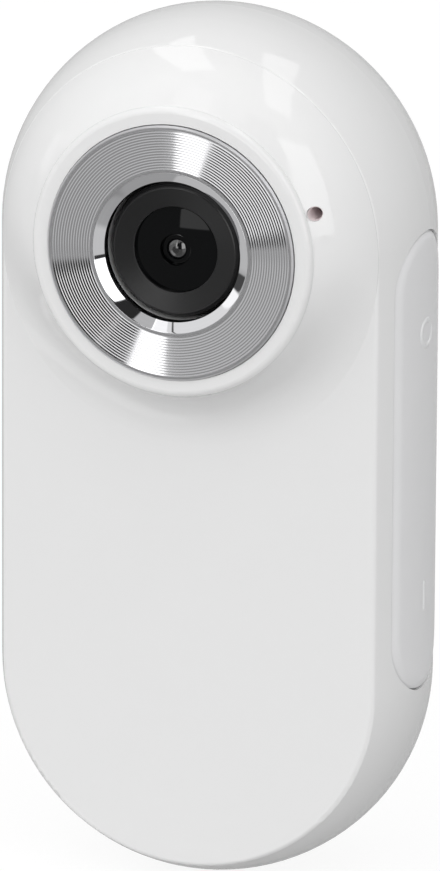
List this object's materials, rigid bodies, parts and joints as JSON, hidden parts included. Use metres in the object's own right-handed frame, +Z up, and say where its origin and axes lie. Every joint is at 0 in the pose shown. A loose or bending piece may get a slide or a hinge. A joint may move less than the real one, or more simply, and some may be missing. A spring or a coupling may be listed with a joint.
{
  "type": "pet collar camera",
  "caption": "Pill-shaped clip-on collar camera with a raised lens head, grooved metal ring, side flap over keys and port, and a sprung strap clip.",
  "frame": {"origin": "middle of the collar where it passes through the clip: half way between the case's back and the clip's arm, level with the middle of the case's height", "axes": "+Z up along the case's length, towards the lens end; the lens looks along -Y; +X is the side with the soft flap"},
  "size_m": [0.0299, 0.0225, 0.06],
  "materials": {
    "gloss_shell": "polished white moulded plastic",
    "ring_aluminium": "face turned with fine concentric grooves",
    "adhesive_tape": "double-sided tape",
    "black_barrel": "matt black anodised",
    "coated_glass": "polished and coated",
    "filter_glass": "polished",
    "black_foam": "closed-cell foam",
    "black_plastic": "moulded",
    "chip_black": "moulded epoxy",
    "board_laminate": "solder mask over glass-epoxy laminate",
    "plated_steel": "nickel plated",
    "capacitor_ceramic": "fired",
    "card_plastic": "moulded, bare",
    "key_plastic": "moulded",
    "black_rubber": "moulded",
    "lead_wire": "insulated",
    "battery_wrap": "foil pouch",
    "white_silicone": "soft, satin",
    "bracket_plastic": "moulded",
    "clip_plastic": "moulded",
    "spring_steel": "drawn wire",
    "screw_steel": "zinc plated"
  },
  "bodies": {
    "case": {"front_shell": "gloss_shell", "back_shell": "gloss_shell", "lens_ring": "ring_aluminium", "ring_adhesive": "adhesive_tape", "lens_barrel": "black_barrel", "front_lens": "coated_glass", "aperture_stop": "black_barrel", "second_lens": "coated_glass", "lens_spacer": "black_barrel", "third_lens": "coated_glass", "lens_retainer": "black_barrel", "lens_seal": "black_foam", "lens_holder": "black_plastic", "ir_filter": "filter_glass", "image_sensor": "chip_black", "sensor_glass": "filter_glass", "circuit_board": "board_laminate", "processor_chip": "chip_black", "memory_chip": "chip_black", "power_chip": "chip_black", "crystal": "plated_steel", "capacitors": "capacitor_ceramic", "usb_socket": "plated_steel", "usb_tongue": "black_plastic", "card_socket": "plated_steel", "power_switch": "black_plastic", "record_switch": "black_plastic", "microphone": "plated_steel", "mic_boot": "black_rubber", "mic_leads": "lead_wire", "battery": "battery_wrap", "battery_pad": "black_foam", "battery_leads": "lead_wire", "cover_anchor": "white_silicone", "clip_bracket": "bracket_plastic", "clip_pin": "plated_steel", "clip_spring": "spring_steel", "case_screws": "screw_steel", "board_screws": "screw_steel", "holder_screws": "screw_steel", "bracket_screws": "screw_steel"},
    "flap": {"side_cover": "white_silicone"},
    "power_button": {"power_key": "key_plastic", "power_plunger": "black_plastic"},
    "record_button": {"record_key": "key_plastic", "record_plunger": "black_plastic"},
    "card": {"memory_card": "card_plastic"},
    "clip": {"spring_clip": "clip_plastic", "clip_pad": "black_rubber"}
  },
  "joints": [
    {"name": "clip_hinge", "type": "hinge", "parent": "case", "child": "clip", "pos_m": [0, 0.0006, 0.0145], "axis": [1, 0, 0], "range_deg": [0, 18], "stiffness_Nm_per_rad": 0.05, "springref_deg": -20.05, "deforming": ["clip_spring"]},
    {"name": "flap_hinge", "type": "hinge", "parent": "case", "child": "flap", "pos_m": [0.01495, -0.00925, 0.0125], "axis": [0, -1, 0], "range_deg": [0, 110]},
    {"name": "power_press", "type": "slide", "parent": "case", "child": "power_button", "axis": [-1, 0, 0], "range_m": [0, 0.0003], "stiffness_N_per_m": 1500, "springref_m": -0.0002},
    {"name": "record_press", "type": "slide", "parent": "case", "child": "record_button", "axis": [-1, 0, 0], "range_m": [0, 0.0003], "stiffness_N_per_m": 1500, "springref_m": -0.0002},
    {"name": "card_slide", "type": "slide", "parent": "case", "child": "card", "axis": [-1, 0, 0], "range_m": [0, 0.015]}
  ]
}
